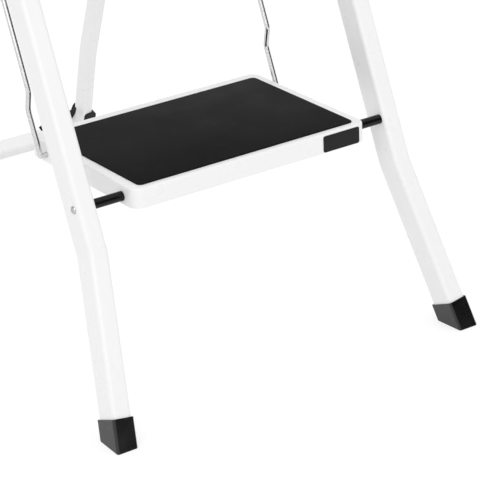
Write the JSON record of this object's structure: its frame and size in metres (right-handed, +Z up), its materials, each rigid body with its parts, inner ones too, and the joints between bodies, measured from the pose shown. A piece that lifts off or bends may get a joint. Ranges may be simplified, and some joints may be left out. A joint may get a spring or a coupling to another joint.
{
  "type": "folding step stool",
  "caption": "Folding step stool with hinged anti-slip treads between a leaning front frame with a hand rail and a rear frame that folds behind it.",
  "frame": {"origin": "on the floor, at the middle of the overall footprint", "axes": "+X to the right of a person facing the treads, +Y to the rear, +Z up"},
  "size_m": [0.5152, 0.8514, 1.4618],
  "materials": {
    "white_paint": "semi-gloss powder coat",
    "zinc_steel": "zinc plated",
    "wire_zinc": "bright zinc plated wire",
    "black_plastic": "moulded, satin",
    "white_nylon": "natural nylon",
    "black_rubber": "moulded, satin",
    "mat_rubber": "fine grained",
    "grip_foam": "closed-cell foam",
    "label_black": "plain satin"
  },
  "bodies": {
    "front_frame": {"bracket_rivets_left": "zinc_steel", "bracket_rivets_right": "zinc_steel", "front_boot_left": "black_rubber", "front_boot_right": "black_rubber", "front_leg_left": "white_paint", "front_leg_right": "white_paint", "hand_grip": "grip_foam", "hand_rail": "white_paint", "hinge_bracket_left": "white_paint", "hinge_bracket_right": "white_paint", "hinge_pin_left": "zinc_steel", "hinge_pin_right": "zinc_steel", "hinge_washers_left": "white_nylon", "hinge_washers_right": "white_nylon", "rod_spacers_1": "black_plastic", "rod_spacers_2": "black_plastic", "rod_spacers_3": "black_plastic", "rod_spacers_4": "black_plastic", "tread_rod_1": "zinc_steel", "tread_rod_2": "zinc_steel", "tread_rod_3": "zinc_steel", "tread_rod_4": "zinc_steel"},
    "rear_frame": {"rear_floor_bar": "white_paint", "rear_leg_left": "white_paint", "rear_leg_plug_left": "black_plastic", "rear_leg_plug_right": "black_plastic", "rear_leg_right": "white_paint", "rear_peg_left": "white_paint", "rear_peg_right": "white_paint", "rear_shoe_left": "black_plastic", "rear_shoe_right": "black_plastic"},
    "tread_1": {"tread_label": "label_black", "tread_mat_1": "mat_rubber", "tread_pan_1": "white_paint"},
    "tread_2": {"tread_mat_2": "mat_rubber", "tread_pan_2": "white_paint"},
    "tread_3": {"tread_mat_3": "mat_rubber", "tread_pan_3": "white_paint"},
    "tread_4": {"platform_arm_left": "white_paint", "platform_arm_right": "white_paint", "tread_mat_4": "mat_rubber", "tread_pan_4": "white_paint"},
    "stays": {"stay_left": "wire_zinc", "stay_right": "wire_zinc"}
  },
  "joints": [
    {"name": "rear_fold", "type": "hinge", "parent": "front_frame", "child": "rear_frame", "pos_m": [0, 0.04635, 1.01214], "axis": [-1, 0, 0], "range_deg": [0, 42]},
    {"name": "tread_1_fold", "type": "hinge", "parent": "front_frame", "child": "tread_1", "pos_m": [0, -0.31199, 0.248], "axis": [1, 0, 0], "range_deg": [0, 59.5]},
    {"name": "tread_2_fold", "type": "hinge", "parent": "front_frame", "child": "tread_2", "pos_m": [0, -0.20926, 0.498], "axis": [1, 0, 0], "range_deg": [0, 59.5]},
    {"name": "tread_3_fold", "type": "hinge", "parent": "front_frame", "child": "tread_3", "pos_m": [0, -0.10652, 0.748], "axis": [1, 0, 0], "range_deg": [0, 59.5]},
    {"name": "tread_4_fold", "type": "hinge", "parent": "front_frame", "child": "tread_4", "pos_m": [0, -0.00379, 0.998], "axis": [1, 0, 0], "range_deg": [0, 59.5]},
    {"name": "stays_lift", "type": "hinge", "parent": "tread_1", "child": "stays", "pos_m": [0, -0.14799, 0.248], "axis": [-1, 0, 0], "range_deg": [0, 59.5]}
  ],
  "couplings": [
    {"joint": "tread_1_fold", "follows": "rear_fold", "ratio": 1.4162},
    {"joint": "tread_2_fold", "follows": "rear_fold", "ratio": 1.4162},
    {"joint": "tread_3_fold", "follows": "rear_fold", "ratio": 1.4162},
    {"joint": "tread_4_fold", "follows": "rear_fold", "ratio": 1.4162},
    {"joint": "stays_lift", "follows": "rear_fold", "ratio": 1.4162}
  ]
}
